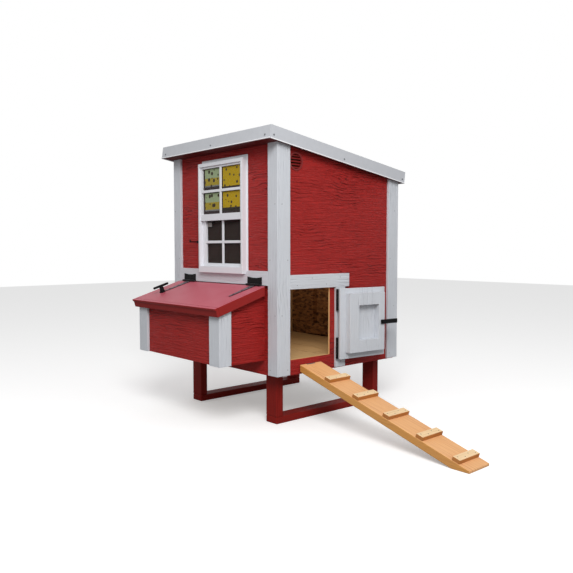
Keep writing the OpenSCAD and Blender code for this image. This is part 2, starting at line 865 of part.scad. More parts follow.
module lid_hook() {
  y1 = -hd - 40;
  color("black") place() translate([hook_x, 0, hook_z]) {
    translate([0, -sid_y, 0]) rotate([90, 0, 0]) cylinder(r = 8, h = 3);
    translate([0, -sid_y, 0]) rotate([90, 0, 0]) cylinder(r = 3.5, h = -sid_y - y1);
    translate([0, y1, 0]) sphere(r = 4);
    translate([0, y1, 0]) cylinder(r = 3.5, h = 14);
  }
}

// ---- chicken door ----

module door_panel() {
  color("gainsboro") place() side_door() swing(door_open)
    leaf_panel(door_w, door_h, door_z, latch_u, door_latch_z);
}

module door_frame() {
  color("gainsboro") place() side_door() swing(door_open)
    leaf_boards(plug_s0, plug_s1, door_z + plug_z0, door_z + plug_z1, latch_u, door_latch_z);
}

module door_hinge_flaps() {
  color("black") place() side_door() swing(door_open)
    for (z = door_hinge_zs) butt_half(z, 1, 1);
}

module door_latch_handle() {
  color("black") place() side_door() swing(door_open)
    translate([latch_u, 0, door_latch_z]) tee(door_through);
}

module door_latch_cam() {
  color("black") place() side_door() swing(door_open)
    translate([latch_u, 0, door_latch_z]) cam(door_through - shaft_end, cam_len);
}

module door_hinge_leaves() {
  color("black") place() {
    side_door() for (z = door_hinge_zs) butt_half(z, -1, 0);
    back_door() for (z = back_hinge_zs) butt_half(z, -1, 0);
  }
}

module hinge_pins() {
  color("dimgray") place() {
    side_door() for (z = door_hinge_zs)
      translate([0, pin_o, z - 2]) cylinder(r = pin_r, h = leaf_h + 4);
    back_door() for (z = back_hinge_zs)
      translate([0, pin_o, z - 2]) cylinder(r = pin_r, h = leaf_h + 4);
    for (x = lid_hinge_xs) {
      translate([x - lid_leaf_w / 2 - 1, lid_ay, lid_az]) rotate([0, 90, 0])
        cylinder(r = lid_pin_r, h = lid_leaf_w + 2);
    }
    translate([ramp_ax, (ramp_y0 + ramp_y1 - ramp_hinge_w) / 2 - 1, ramp_az]) rotate([-90, 0, 0])
      cylinder(r = ramp_pin_r, h = ramp_hinge_w + 2);
  }
}

// ---- ramp ----

module ramp_board() {
  under = ramp_t / cos(ramp_pitch);
  mid = (ramp_y0 + ramp_y1) / 2;
  color("sandybrown") place() difference() {
    along_y(ramp_y0, ramp_y1, [
      [ramp_x0, ramp_z], [ramp_x0, ramp_z - under],
      [ramp_x0 + (ramp_z - under) / tan(ramp_pitch), 0], [ramp_x1, 0], [ramp_x1, ramp_toe]
    ]);
    box(ramp_x0 - 1, ramp_ax + ramp_knuckle + 1, mid - ramp_slot / 2, mid + ramp_slot / 2,
        0, ramp_z + 1);
  }
}

module ramp_cleats() {
  color("wheat") place() translate([ramp_x0, 0, ramp_z]) rotate([0, ramp_pitch, 0])
    for (i = [0 : cleat_n - 1]) {
      x0 = cleat_first + i * cleat_pitch;
      mid = (ramp_y0 + ramp_y1) / 2;
      box(x0, x0 + cleat_w, mid - cleat_l / 2, mid + cleat_l / 2, 0, cleat_t);
    }
}

// Knuckles along the ramp's hinge line, the first at step "first" of three
module ramp_knuckles(first) {
  step = ramp_hinge_w / 3;
  y0 = (ramp_y0 + ramp_y1 - ramp_hinge_w) / 2;
  for (i = [first : 2 : 2]) {
    translate([ramp_ax, y0 + i * step + gap, ramp_az]) rotate([-90, 0, 0])
      cylinder(r = ramp_knuckle, h = step - 2 * gap);
  }
}

module ramp_bore() {
  translate([ramp_ax, ramp_y0, ramp_az]) rotate([-90, 0, 0])
    cylinder(r = ramp_pin_r + run_fit, h = ramp_w);
}

module ramp_hinge_leaf() {
  step = ramp_hinge_w / 3;
  y0 = (ramp_y0 + ramp_y1 - ramp_hinge_w) / 2;
  color("dimgray") place() difference() {
    union() {
      ramp_knuckles(0);
      box(sid_x, sid_x + 1.5, y0, y0 + ramp_hinge_w, ramp_az - 34, ramp_az);
      for (i = [0, 2]) {
        box(sid_x, ramp_ax, y0 + i * step + gap, y0 + (i + 1) * step - gap,
            ramp_az - ramp_knuckle, ramp_az);
      }
    }
    ramp_bore();
  }
}

module ramp_hinge_flap() {
  step = ramp_hinge_w / 3;
  y0 = (ramp_y0 + ramp_y1 - ramp_hinge_w) / 2;
  x1 = ramp_ax + ramp_knuckle + 1;
  color("dimgray") place() difference() {
    union() {
      ramp_knuckles(1);
      box(ramp_ax, x1, y0 + step + gap, y0 + 2 * step - gap, ramp_az - ramp_knuckle, ramp_az);
      box(x1 - 2, x1, y0, y0 + ramp_hinge_w, ramp_az - 24, ramp_az - ramp_knuckle + 1);
    }
    ramp_bore();
  }
}

// ---- inside ----

module roost_bar() {
  color("burlywood") place()
    box(-in_x + 1, in_x - 1, roost_y - roost_w / 2, roost_y + roost_w / 2, roost_z, roost_z + roost_w);
}

module roost_brackets() {
  color("burlywood") place() for (side = [-1, 1]) {
    x0 = side > 0 ? in_x - bracket_t : -in_x;
    difference() {
      box(x0, x0 + bracket_t, roost_y - 45, roost_y + 45, roost_z - 50, roost_z + 30);
      box(x0 - 1, x0 + bracket_t + 1, roost_y - roost_w / 2 - gap, roost_y + roost_w / 2 + gap,
          roost_z, roost_z + 31);
    }
  }
}

// ---- clean-out door ----

module back_door_boards() {
  z1 = back_z + back_h + 6;
  color("gainsboro") place() back_door() {
    box(-board_w - 1, -1, -board_t, 0, board_z, z1 - butt);
    box(back_w + 3, back_w + 3 + board_w, -board_t, 0, board_z, z1 - butt);
    box(-board_w - 1, back_w + 3 + board_w, -board_t, 0, z1, z1 + board_w);
  }
}

module back_door_panel() {
  color("firebrick") place() back_door()
    leaf_panel(back_w, back_h, back_z, back_latch_u, back_latch_z);
}

module back_door_frame() {
  color("gainsboro") place() back_door()
    leaf_boards(plug_s0, back_plug_s1, back_z + plug_z0, back_z + back_plug_z1,
                back_latch_u, back_latch_z);
}

module back_hinge_flaps() {
  color("black") place() back_door() for (z = back_hinge_zs) butt_half(z, 1, 1);
}

module back_latch_handle() {
  color("black") place() back_door() translate([back_latch_u, 0, back_latch_z])
    rotate([0, -90, 0]) tee(door_through);
}

module back_latch_cam() {
  color("black") place() back_door() translate([back_latch_u, 0, back_latch_z])
    rotate([0, -90, 0]) cam(door_through - shaft_end, back_cam_len);
}

runners();
leg_posts();
floor_frame();
floor_deck();
corner_studs();
top_plates();
front_wall();
right_wall();
left_wall();
rear_wall();
corner_boards_front();
corner_boards_rear();
front_band();
door_header();
door_side_board();
roof_deck();
roof_battens();
roof_sheet();
roof_edge_ends();
roof_edge_sides();
roof_screws();
vents();
window_frame();
upper_sash();
upper_glass();
lower_sash();
lower_glass();
insect_screen();
nest_front();
nest_sides();
nest_floor();
nest_divider();
nest_corner_boards();
lid_panel();
lid_edge();
lid_hinge_leaves();
lid_hinge_straps();
lid_latch_handle();
lid_latch_cam();
lid_hook();
door_panel();
door_frame();
door_hinge_flaps();
door_latch_handle();
door_latch_cam();
door_hinge_leaves();
hinge_pins();
ramp_board();
ramp_cleats();
ramp_hinge_leaf();
ramp_hinge_flap();
roost_bar();
roost_brackets();
back_door_boards();
back_door_panel();
back_door_frame();
back_hinge_flaps();
back_latch_handle();
back_latch_cam();
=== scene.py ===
import math

import bmesh
import bpy
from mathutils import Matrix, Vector


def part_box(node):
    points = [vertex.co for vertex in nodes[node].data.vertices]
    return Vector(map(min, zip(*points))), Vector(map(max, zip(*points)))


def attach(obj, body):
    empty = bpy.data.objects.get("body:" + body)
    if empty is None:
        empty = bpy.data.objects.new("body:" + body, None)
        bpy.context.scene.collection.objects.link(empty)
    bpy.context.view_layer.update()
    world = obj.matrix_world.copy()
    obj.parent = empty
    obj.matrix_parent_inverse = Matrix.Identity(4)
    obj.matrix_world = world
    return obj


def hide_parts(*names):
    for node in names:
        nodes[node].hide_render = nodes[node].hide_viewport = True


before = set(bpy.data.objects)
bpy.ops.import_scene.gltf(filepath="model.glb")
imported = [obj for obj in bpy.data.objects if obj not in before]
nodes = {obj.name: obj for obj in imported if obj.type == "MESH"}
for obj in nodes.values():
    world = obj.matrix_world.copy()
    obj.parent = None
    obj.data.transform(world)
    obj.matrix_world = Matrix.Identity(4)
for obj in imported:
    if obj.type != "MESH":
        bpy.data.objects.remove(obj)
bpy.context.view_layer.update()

# ---- Ground, sky and camera ----
# A pale paved floor under an overcast sky. The house is seen from its front right
# corner, at about the height of a person crouching, looking slightly down.
corner_low, corner_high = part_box("corner_boards_front")
near_corner = Vector((corner_high.x, corner_low.y, 0))
eye_out = Vector((2.515, -2.1975, 0.953))
eye_turn = 48.04
eye_tilt = 3.39
sensor_width = 36.0
lens_length = 40.6932
furthest_seen = 60

camera = bpy.data.objects.new("camera", bpy.data.cameras.new("camera"))
bpy.context.scene.collection.objects.link(camera)
camera.data.sensor_width = sensor_width
camera.data.lens = lens_length
camera.location = near_corner + eye_out
camera.rotation_euler = (math.radians(90 - eye_tilt), 0, math.radians(eye_turn))
camera.data.clip_end = furthest_seen
bpy.context.scene.camera = camera

scene = bpy.context.scene
scene.view_settings.view_transform = "Standard"
sky = bpy.data.worlds.new("overcast")
scene.world = sky
sky.use_nodes = True
sky_glow = 1.0
sky_fill = 0.50
backdrop = sky.node_tree.nodes["Background"]
backdrop.inputs["Color"].default_value = (1.0, 1.0, 1.0, 1)


# A strength of "seen" for what the eye meets directly, and "lent" for the light it gives.
def held_back(tree, seen, lent):
    ray = tree.nodes.new("ShaderNodeLightPath")
    level = tree.nodes.new("ShaderNodeMapRange")
    level.inputs["To Min"].default_value = lent
    level.inputs["To Max"].default_value = seen
    tree.links.new(ray.outputs["Is Camera Ray"], level.inputs["Value"])
    return level.outputs["Result"]


sky.node_tree.links.new(held_back(sky.node_tree, sky_glow, sky_fill), backdrop.inputs["Strength"])


def soft_light(name, place, aim, size, power, tint=(1, 1, 1)):
    lamp = bpy.data.lights.new(name, "AREA")
    lamp.shape = "SQUARE"
    lamp.size = size
    lamp.energy = power
    lamp.color = tint
    lamp_object = bpy.data.objects.new(name, lamp)
    scene.collection.objects.link(lamp_object)
    lamp_object.location = place
    lamp_object.rotation_euler = (Vector(aim) - Vector(place)).to_track_quat("-Z", "Y").to_euler()


soft_light("key", place=(3.3, -2.9, 3.9), aim=(-0.4, 0.1, 0.7), size=2.2, power=215)
soft_light("bounce_inside", place=(-0.45, 0.0, 1.2), aim=(-0.45, 0.15, 0.3), size=0.5, power=2.2,
           tint=(1, 0.86, 0.68))

floor_mesh = bpy.data.meshes.new("paving")
floor_half = 14
floor_mesh.from_pydata(
    [(x * floor_half, y * floor_half, 0) for x, y in ((-1, -1), (1, -1), (1, 1), (-1, 1))],
    [], [(0, 1, 2, 3)])
floor = bpy.data.objects.new("paving", floor_mesh)
scene.collection.objects.link(floor)
floor_finish = bpy.data.materials.new("pale_paving")
floor_finish.use_nodes = True
floor_tree = floor_finish.node_tree
floor_shader = floor_tree.nodes["Principled BSDF"]
floor_shader.inputs["Roughness"].default_value = 0.9
floor_shader.inputs["Specular IOR Level"].default_value = 0.0
floor_shader.inputs["Emission Color"].default_value = (1, 1, 1, 1)
paving_shade = held_back(floor_tree, seen=0.93, lent=0.30)
paving_glow = held_back(floor_tree, seen=0.30, lent=0.0)
floor_tree.links.new(paving_shade, floor_shader.inputs["Base Color"])
floor_tree.links.new(paving_glow, floor_shader.inputs["Emission Strength"])
floor_mesh.materials.append(floor_finish)


# ---- Leg frames ----
# Two runners laid flat, with a pair of posts standing on each. They are planed
# timbers with eased edges under a dark red stain that lets the grain show.

# Figure of wood along a board: rings that wander, with finer fibre between them.
def wood_figure_group():
    tree = bpy.data.node_groups.new("wood_figure", "ShaderNodeTree")
    side = tree.interface
    for label, kind in (("Position", "NodeSocketVector"), ("Across", "NodeSocketVector"),
                        ("Along", "NodeSocketVector"), ("Rings per metre", "NodeSocketFloat"),
                        ("Wander", "NodeSocketFloat"), ("Seed", "NodeSocketFloat")):
        side.new_socket(name=label, in_out="INPUT", socket_type=kind)
    for label in ("Rings", "Patches", "Fibre", "Height"):
        side.new_socket(name=label, in_out="OUTPUT", socket_type="NodeSocketFloat")
    add = tree.nodes.new
    link = tree.links.new
    start = add("NodeGroupInput")
    end = add("NodeGroupOutput")

    def maths(what, a, b=None):
        node = add("ShaderNodeMath")
        node.operation = what
        for socket, value in zip(node.inputs, (a, b)):
            if value is None:
                continue
            if isinstance(value, (int, float)):
                socket.default_value = value
            else:
                link(value, socket)
        return node.outputs[0]

    def dot(direction):
        node = add("ShaderNodeVectorMath")
        node.operation = "DOT_PRODUCT"
        link(start.outputs["Position"], node.inputs[0])
        link(start.outputs[direction], node.inputs[1])
        return node.outputs["Value"]

    def noise(across_scale, along_scale, detail, rough=0.5):
        point = add("ShaderNodeCombineXYZ")
        link(maths("MULTIPLY", across, across_scale), point.inputs[0])
        link(maths("MULTIPLY", along, along_scale), point.inputs[1])
        link(start.outputs["Seed"], point.inputs[2])
        texture = add("ShaderNodeTexNoise")
        texture.inputs["Scale"].default_value = 1
        texture.inputs["Detail"].default_value = detail
        texture.inputs["Roughness"].default_value = rough
        link(point.outputs[0], texture.inputs["Vector"])
        return texture.outputs["Fac"]

    def spread(value, low, high):
        node = add("ShaderNodeMapRange")
        node.interpolation_type = "SMOOTHSTEP"
        node.inputs["From Min"].default_value = low
        node.inputs["From Max"].default_value = high
        link(value, node.inputs["Value"])
        return node.outputs["Result"]

    across = dot("Across")
    along = dot("Along")
    half_ring = 0.5
    fine_share = 0.35
    line_share = 0.65
    warp = maths("MULTIPLY", noise(across_scale=7, along_scale=2.2, detail=4), start.outputs["Wander"])
    phase = maths("ADD", maths("MULTIPLY", across, start.outputs["Rings per metre"]), warp)
    rings = spread(maths("PINGPONG", phase, half_ring), low=0.3, high=0.48)
    breaks = spread(noise(across_scale=90, along_scale=9, detail=2), low=0.36, high=0.58)
    patches = spread(noise(across_scale=6.5, along_scale=2.4, detail=3), low=0.42, high=0.66)
    fine = noise(across_scale=420, along_scale=14, detail=3, rough=0.65)
    lines = spread(noise(across_scale=130, along_scale=5, detail=4, rough=0.7), low=0.30, high=0.70)
    fibre = maths("ADD", maths("MULTIPLY", fine, fine_share), maths("MULTIPLY", lines, line_share))
    cut = maths("MULTIPLY", maths("MULTIPLY", rings, patches), breaks)
    height = maths("SUBTRACT", fibre, cut)
    link(cut, end.inputs["Rings"])
    link(patches, end.inputs["Patches"])
    link(fibre, end.inputs["Fibre"])
    link(height, end.inputs["Height"])
    return tree


# Sockets of a colour mix: the colour it starts from, the one it goes to, and its result.
mix_from = 6
mix_to = 7
mix_result = 2


# Dust and faint stains that gather over a finish: a mask for colour and sheen.
def weather_group():
    tree = bpy.data.node_groups.new("weather", "ShaderNodeTree")
    side = tree.interface
    for label, kind in (("Position", "NodeSocketVector"), ("Colour", "NodeSocketColor"),
                        ("Dust", "NodeSocketColor"), ("Amount", "NodeSocketFloat")):
        side.new_socket(name=label, in_out="INPUT", socket_type=kind)
    side.new_socket(name="Colour", in_out="OUTPUT", socket_type="NodeSocketColor")
    side.new_socket(name="Mask", in_out="OUTPUT", socket_type="NodeSocketFloat")
    start = tree.nodes.new("NodeGroupInput")
    end = tree.nodes.new("NodeGroupOutput")
    cloud = tree.nodes.new("ShaderNodeTexNoise")
    cloud.inputs["Scale"].default_value = 3.1
    cloud.inputs["Detail"].default_value = 7
    cloud.inputs["Roughness"].default_value = 0.62
    tree.links.new(start.outputs["Position"], cloud.inputs["Vector"])
    share = tree.nodes.new("ShaderNodeMapRange")
    share.inputs["From Min"].default_value = 0.4
    share.inputs["From Max"].default_value = 0.75
    tree.links.new(cloud.outputs["Fac"], share.inputs["Value"])
    scale = tree.nodes.new("ShaderNodeMath")
    scale.operation = "MULTIPLY"
    tree.links.new(share.outputs["Result"], scale.inputs[0])
    tree.links.new(start.outputs["Amount"], scale.inputs[1])
    mix = tree.nodes.new("ShaderNodeMix")
    mix.data_type = "RGBA"
    tree.links.new(scale.outputs[0], mix.inputs["Factor"])
    tree.links.new(start.outputs["Colour"], mix.inputs[mix_from])
    tree.links.new(start.outputs["Dust"], mix.inputs[mix_to])
    tree.links.new(mix.outputs[mix_result], end.inputs["Colour"])
    tree.links.new(share.outputs["Result"], end.inputs["Mask"])
    return tree


wood_figure = wood_figure_group()
weather = weather_group()


# A timber finish: the figure runs along "along" and its rings are counted along "across".
def timber_finish(name, light, dark, across, along, rings=60, wander=6.0, relief=0.0006,
                  figure=0.5, roughness=0.5, dust=(0.5, 0.46, 0.42), dusty=0.08, seed=0.0,
                  gloss=0.5):
    fibre_share = 0.55
    sheen_below = 0.06
    sheen_above = 0.12
    finish = bpy.data.materials.new(name)
    finish.use_nodes = True
    tree = finish.node_tree
    shader = tree.nodes["Principled BSDF"]
    shader.inputs["Specular IOR Level"].default_value = gloss
    place = tree.nodes.new("ShaderNodeTexCoord")
    grain = tree.nodes.new("ShaderNodeGroup")
    grain.node_tree = wood_figure
    tree.links.new(place.outputs["Object"], grain.inputs["Position"])
    grain.inputs["Across"].default_value = across
    grain.inputs["Along"].default_value = along
    grain.inputs["Rings per metre"].default_value = rings
    grain.inputs["Wander"].default_value = wander
    grain.inputs["Seed"].default_value = seed
    tone = tree.nodes.new("ShaderNodeMath")
    tone.operation = "MULTIPLY_ADD"
    tree.links.new(grain.outputs["Fibre"], tone.inputs[0])
    tone.inputs[1].default_value = fibre_share * figure
    depth = tree.nodes.new("ShaderNodeMath")
    depth.operation = "MULTIPLY"
    tree.links.new(grain.outputs["Rings"], depth.inputs[0])
    depth.inputs[1].default_value = figure
    tree.links.new(depth.outputs[0], tone.inputs[2])
    mix = tree.nodes.new("ShaderNodeMix")
    mix.data_type = "RGBA"
    mix.inputs[mix_from].default_value = (*light, 1)
    mix.inputs[mix_to].default_value = (*dark, 1)
    tree.links.new(tone.outputs[0], mix.inputs["Factor"])
    dirt = tree.nodes.new("ShaderNodeGroup")
    dirt.node_tree = weather
    tree.links.new(place.outputs["Object"], dirt.inputs["Position"])
    tree.links.new(mix.outputs[mix_result], dirt.inputs["Colour"])
    dirt.inputs["Dust"].default_value = (*dust, 1)
    dirt.inputs["Amount"].default_value = dusty
    tree.links.new(dirt.outputs["Colour"], shader.inputs["Base Color"])
    dull = tree.nodes.new("ShaderNodeMapRange")
    dull.inputs["To Min"].default_value = roughness - sheen_below
    dull.inputs["To Max"].default_value = roughness + sheen_above
    tree.links.new(dirt.outputs["Mask"], dull.inputs["Value"])
    tree.links.new(dull.outputs["Result"], shader.inputs["Roughness"])
    bump = tree.nodes.new("ShaderNodeBump")
    bump.inputs["Distance"].default_value = relief
    tree.links.new(grain.outputs["Height"], bump.inputs["Height"])
    tree.links.new(bump.outputs["Normal"], shader.inputs["Normal"])
    return finish


# The CAD piece again with eased edges. "choose" gives a face's finish from its normal and middle.
def eased(node, body, ease, finishes, choose=None):
    weld = 1e-5
    flat_angle = math.radians(1)
    sharp_angle = math.radians(25)
    mesh = bpy.data.meshes.new(node + "_finished")
    work = bmesh.new()
    work.from_mesh(nodes[node].data)
    bmesh.ops.remove_doubles(work, verts=work.verts, dist=weld)
    bmesh.ops.dissolve_limit(work, angle_limit=flat_angle, verts=work.verts, edges=work.edges)
    sharp = [e for e in work.edges if len(e.link_faces) == 2 and e.calc_face_angle() > sharp_angle]
    bmesh.ops.bevel(work, geom=sharp, offset=ease, segments=2, profile=0.5, affect="EDGES",
                    clamp_overlap=True)
    for face in work.faces:
        face.material_index = choose(face.normal, face.calc_center_median()) if choose else 0
    work.to_mesh(mesh)
    work.free()
    for finish in finishes:
        mesh.materials.append(finish)
    piece = bpy.data.objects.new(node + "_finished", mesh)
    scene.collection.objects.link(piece)
    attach(piece, body)
    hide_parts(node)
    return piece


# Ways that grain can run, and the ways across them.
upright = (0, 0, 1)
level = (1, 1, 0)
along_x = (1, 0, 0)
along_y = (0, 1, 0)
across_x = (0, 1, 1)
across_y = (1, 0, 1)

stain_light = (0.270, 0.014, 0.010)
stain_dark = (0.090, 0.005, 0.004)
stain_dust = (0.30, 0.06, 0.04)
leg_ease = 0.004
post_finish = timber_finish("stained_post", stain_light, stain_dark, level, upright, rings=70,
                            wander=3, dust=stain_dust, gloss=0.15)
runner_finish = timber_finish("stained_runner", stain_light, stain_dark, across_y, along_y, rings=70,
                              wander=3, dust=stain_dust, gloss=0.15)
eased("leg_posts", "house", leg_ease, [post_finish])
eased("runners", "house", leg_ease, [runner_finish])

# ---- Floor ----
# Sawn joists under a plywood floor. The plywood is bare, with a strong figure, and
# it shows at the chicken door.
pine_light = (0.62, 0.40, 0.20)
pine_dark = (0.36, 0.19, 0.08)
sawn_ease = 0.0015
ply_ease = 0.0006
joist_finish = timber_finish("sawn_joist", pine_light, pine_dark, across_y, along_y, rings=60,
                             wander=4, roughness=0.7)
deck_finish = timber_finish("floor_plywood", (0.62, 0.41, 0.19), (0.26, 0.12, 0.045), along_y,
                            along_x, rings=26, wander=7, figure=0.7, roughness=0.6, relief=0.0003)
eased("floor_frame", "house", sawn_ease, [joist_finish])
eased("floor_deck", "house", ply_ease, [deck_finish])

# ---- Walls ----
# Embossed siding panels in barn red. The embossing is a wood grain that runs
# level round the house. The backs are bare strand board, which the doors show.


# Strand board: overlapping flakes in tans and browns, pressed flat.
def strand_board(name, light, dark):
    finish = bpy.data.materials.new(name)
    finish.use_nodes = True
    tree = finish.node_tree
    shader = tree.nodes["Principled BSDF"]
    place = tree.nodes.new("ShaderNodeTexCoord")
    tones = []
    for turn, flakes in ((0.5, 26), (-0.9, 34)):
        layer = tree.nodes.new("ShaderNodeMapping")
        layer.inputs["Rotation"].default_value = (turn, turn, turn)
        layer.inputs["Scale"].default_value = (1, 1, 2.6)
        tree.links.new(place.outputs["Object"], layer.inputs["Vector"])
        cells = tree.nodes.new("ShaderNodeTexVoronoi")
        cells.inputs["Scale"].default_value = flakes
        tree.links.new(layer.outputs["Vector"], cells.inputs["Vector"])
        tones.append(cells.outputs["Color"])
    both = tree.nodes.new("ShaderNodeMix")
    both.data_type = "RGBA"
    both.inputs["Factor"].default_value = 0.5
    tree.links.new(tones[0], both.inputs[mix_from])
    tree.links.new(tones[1], both.inputs[mix_to])
    grey = tree.nodes.new("ShaderNodeSeparateColor")
    tree.links.new(both.outputs[mix_result], grey.inputs["Color"])
    ramp = tree.nodes.new("ShaderNodeValToRGB")
    ramp.color_ramp.elements[0].position = 0.2
    ramp.color_ramp.elements[0].color = (*dark, 1)
    ramp.color_ramp.elements[1].position = 0.75
    ramp.color_ramp.elements[1].color = (*light, 1)
    tree.links.new(grey.outputs[0], ramp.inputs["Fac"])
    tree.links.new(ramp.outputs["Color"], shader.inputs["Base Color"])
    shader.inputs["Roughness"].default_value = 0.72
    bump = tree.nodes.new("ShaderNodeBump")
    bump.inputs["Distance"].default_value = 0.0006
    tree.links.new(grey.outputs[1], bump.inputs["Height"])
    tree.links.new(bump.outputs["Normal"], shader.inputs["Normal"])
    return finish


barn_red = (0.490, 0.0250, 0.0215)
barn_shadow = (0.150, 0.0045, 0.0050)


def siding(name, seed):
    return timber_finish(name, barn_red, barn_shadow, upright, level, rings=62, wander=9.0,
                         relief=0.0058, figure=0.62, roughness=0.40, dust=(0.34, 0.022, 0.020),
                         dusty=0.2, seed=seed, gloss=0.2)


strand = strand_board("strand_board", light=(0.34, 0.155, 0.055), dark=(0.09, 0.032, 0.010))
cut_edge = timber_finish("cut_siding_edge", (0.80, 0.50, 0.22), (0.55, 0.28, 0.10), level,
                         upright, rings=90, wander=2, roughness=0.7)

# How nearly a face has to look a given way to count, and how nearly edge-on to it.
faces_it = 0.7
edge_on = 0.3
edge_rim = 0.004
roof_line = 1.3
wall_seed_step = 3.7
wall_inward = {"front_wall": Vector((0, 1, 0)), "rear_wall": Vector((0, -1, 0)),
               "left_wall": Vector((1, 0, 0)), "right_wall": Vector((-1, 0, 0))}


# Red siding outside, strand board inside, and a cut edge round each opening.
def wall_face(inward, low, high):
    def choose(normal, middle):
        if normal.dot(inward) > faces_it:
            return 1
        inside = all(low[i] + edge_rim < middle[i] < high[i] - edge_rim
                     for i in (0, 1, 2) if not inward[i])
        if abs(normal.dot(inward)) < edge_on and inside and middle.z < roof_line:
            return 2
        return 0

    return choose


for index, (wall, inward) in enumerate(wall_inward.items()):
    wall_red = siding(wall + "_red", wall_seed_step * index)
    eased(wall, "house", ply_ease, [wall_red, strand, cut_edge],
          wall_face(inward, *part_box(wall)))

stud_finish = timber_finish("stud", pine_light, pine_dark, level, upright, rings=60, wander=4,
                            roughness=0.7)
plate_finish = timber_finish("plate", pine_light, pine_dark, across_x, along_x, rings=60, wander=4,
                             roughness=0.7)
eased("corner_studs", "house", sawn_ease, [stud_finish])
eased("top_plates", "house", sawn_ease, [plate_finish])

# ---- Corner boards, band and door trim ----
# Planed boards with a light embossed grain, painted off-white and nailed over the
# siding. Each corner has two boards that butt together.
off_white = (0.680, 0.705, 0.750)
white_shadow = (0.33, 0.35, 0.39)


def white_board(name, across, along, seed=0.0):
    return timber_finish(name, off_white, white_shadow, across, along, rings=46, wander=5.0,
                         relief=0.0016, figure=0.26, roughness=0.42, dust=(0.44, 0.44, 0.43),
                         dusty=0.16, seed=seed)


upright_white = white_board("white_upright", level, upright)
level_white = white_board("white_level", upright, level, seed=2.0)
board_ease = 0.0016
for node in ("corner_boards_front", "corner_boards_rear", "nest_corner_boards", "door_side_board"):
    eased(node, "house", board_ease, [upright_white])
for node in ("front_band", "door_header"):
    eased(node, "house", board_ease, [level_white])


# Small heads set out on a piece: nails or screws, each facing its own way.
# The tree takes points with a "facing" direction and puts a low domed head on each.
def heads_tree():
    tree = bpy.data.node_groups.new("fastener_heads", "GeometryNodeTree")
    side = tree.interface
    side.new_socket(name="Points", in_out="INPUT", socket_type="NodeSocketGeometry")
    side.new_socket(name="Head radius", in_out="INPUT", socket_type="NodeSocketFloat")
    side.new_socket(name="Head height", in_out="INPUT", socket_type="NodeSocketFloat")
    side.new_socket(name="Finish", in_out="INPUT", socket_type="NodeSocketMaterial")
    side.new_socket(name="Heads", in_out="OUTPUT", socket_type="NodeSocketGeometry")
    add = tree.nodes.new
    link = tree.links.new
    start = add("NodeGroupInput")
    end = add("NodeGroupOutput")
    dome = add("GeometryNodeMeshUVSphere")
    dome.inputs["Segments"].default_value = 12
    dome.inputs["Rings"].default_value = 6
    dome.inputs["Radius"].default_value = 1
    shape = add("GeometryNodeTransform")
    size = add("ShaderNodeCombineXYZ")
    for axis in ("X", "Y"):
        link(start.outputs["Head radius"], size.inputs[axis])
    link(start.outputs["Head height"], size.inputs["Z"])
    link(dome.outputs["Mesh"], shape.inputs["Geometry"])
    link(size.outputs[0], shape.inputs["Scale"])
    facing = add("GeometryNodeInputNamedAttribute")
    facing.data_type = "FLOAT_VECTOR"
    facing.inputs["Name"].default_value = "facing"
    turn = add("FunctionNodeAlignRotationToVector")
    turn.axis = "Z"
    link(facing.outputs["Attribute"], turn.inputs["Vector"])
    copy = add("GeometryNodeInstanceOnPoints")
    link(start.outputs["Points"], copy.inputs["Points"])
    link(shape.outputs["Geometry"], copy.inputs["Instance"])
    link(turn.outputs["Rotation"], copy.inputs["Rotation"])
    real = add("GeometryNodeRealizeInstances")
    link(copy.outputs["Instances"], real.inputs["Geometry"])
    paint = add("GeometryNodeSetMaterial")
    link(real.outputs["Geometry"], paint.inputs["Geometry"])
    link(start.outputs["Finish"], paint.inputs["Material"])
    link(paint.outputs["Geometry"], end.inputs["Heads"])
    return tree


heads = heads_tree()


# The mesh that a modifier's tree makes from "base", as a plain object.
def grown(base, tree, settings, name):
    modifier = base.modifiers.new("grow", "NODES")
    modifier.node_group = tree
    sockets = {s.name: s.identifier for s in tree.interface.items_tree if s.in_out == "INPUT"}
    for label, value in settings.items():
        modifier[sockets[label]] = value
    bpy.context.view_layer.update()
    graph = bpy.context.evaluated_depsgraph_get()
    mesh = bpy.data.meshes.new_from_object(base.evaluated_get(graph), depsgraph=graph)
    base.modifiers.clear()
    bpy.data.objects.remove(base)
    mesh.name = name
    piece = bpy.data.objects.new(name, mesh)
    scene.collection.objects.link(piece)
    return piece


def set_heads(name, body, finish, spots, radius, height):
    mesh = bpy.data.meshes.new(name + "_points")
    mesh.from_pydata([tuple(place) for place, facing in spots], [], [])
    facing_values = mesh.attributes.new("facing", "FLOAT_VECTOR", "POINT")
    facing_values.data.foreach_set("vector", [c for place, facing in spots for c in facing])
    base = bpy.data.objects.new(name + "_points", mesh)
    scene.collection.objects.link(base)
    piece = grown(base, heads, {"Head radius": radius, "Head height": height, "Finish": finish}, name)
    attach(piece, body)
    return piece


